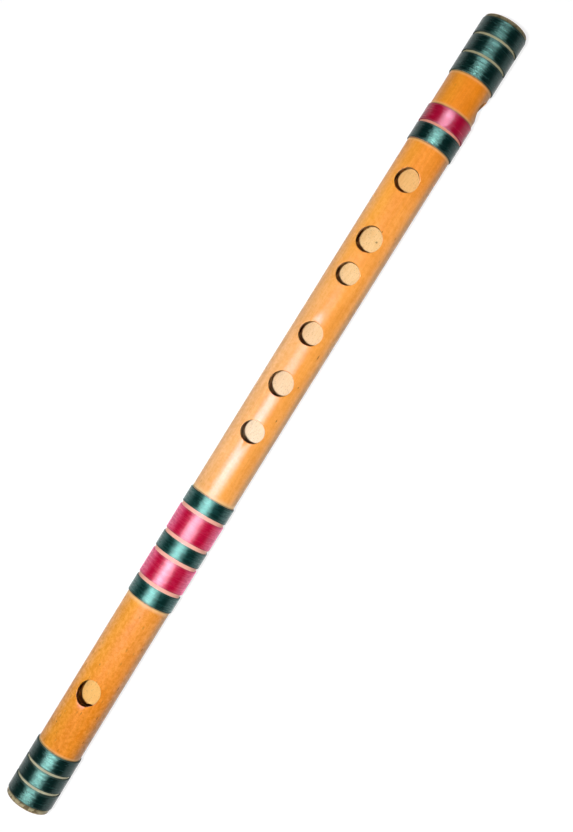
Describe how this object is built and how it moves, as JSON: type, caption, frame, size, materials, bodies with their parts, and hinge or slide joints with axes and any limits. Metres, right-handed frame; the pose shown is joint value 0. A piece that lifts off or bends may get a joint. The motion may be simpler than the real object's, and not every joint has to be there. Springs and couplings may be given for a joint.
{
  "type": "transverse bamboo flute",
  "caption": "Side-blown bamboo flute: a cane tube with an oval blow hole, a row of finger holes, a tuning hole, an inner cork stopper and green and pink thread bindings.",
  "frame": {"origin": "under the middle of the flute, on the flat surface it lies on", "axes": "+X along the bore from the head end to the foot end, +Z out of the row of finger holes, -Y towards the side of the tuning hole"},
  "size_m": [0.4702, 0.0269, 0.026],
  "materials": {
    "cane": "smooth natural bamboo skin with a low oiled gloss",
    "cork": "matt natural cork",
    "green_thread": "fine mercerised cotton thread wound turn by turn, satin",
    "pink_thread": "fine mercerised cotton thread wound turn by turn, satin"
  },
  "bodies": {
    "flute": {"cane_tube": "cane", "head_green_binding_1": "green_thread", "head_green_binding_2": "green_thread", "head_green_binding_3": "green_thread", "middle_green_binding_1": "green_thread", "middle_pink_binding_1": "pink_thread", "middle_green_binding_2": "green_thread", "middle_pink_binding_2": "pink_thread", "middle_green_binding_3": "green_thread", "lower_green_binding": "green_thread", "lower_pink_binding": "pink_thread", "foot_green_binding_1": "green_thread", "foot_green_binding_2": "green_thread", "foot_green_binding_3": "green_thread"},
    "stopper": {"cork_stopper": "cork"}
  },
  "joints": [
    {"name": "stopper_slide", "type": "slide", "parent": "flute", "child": "stopper", "axis": [1, 0, 0], "range_m": [-0.006, 0.004]}
  ]
}
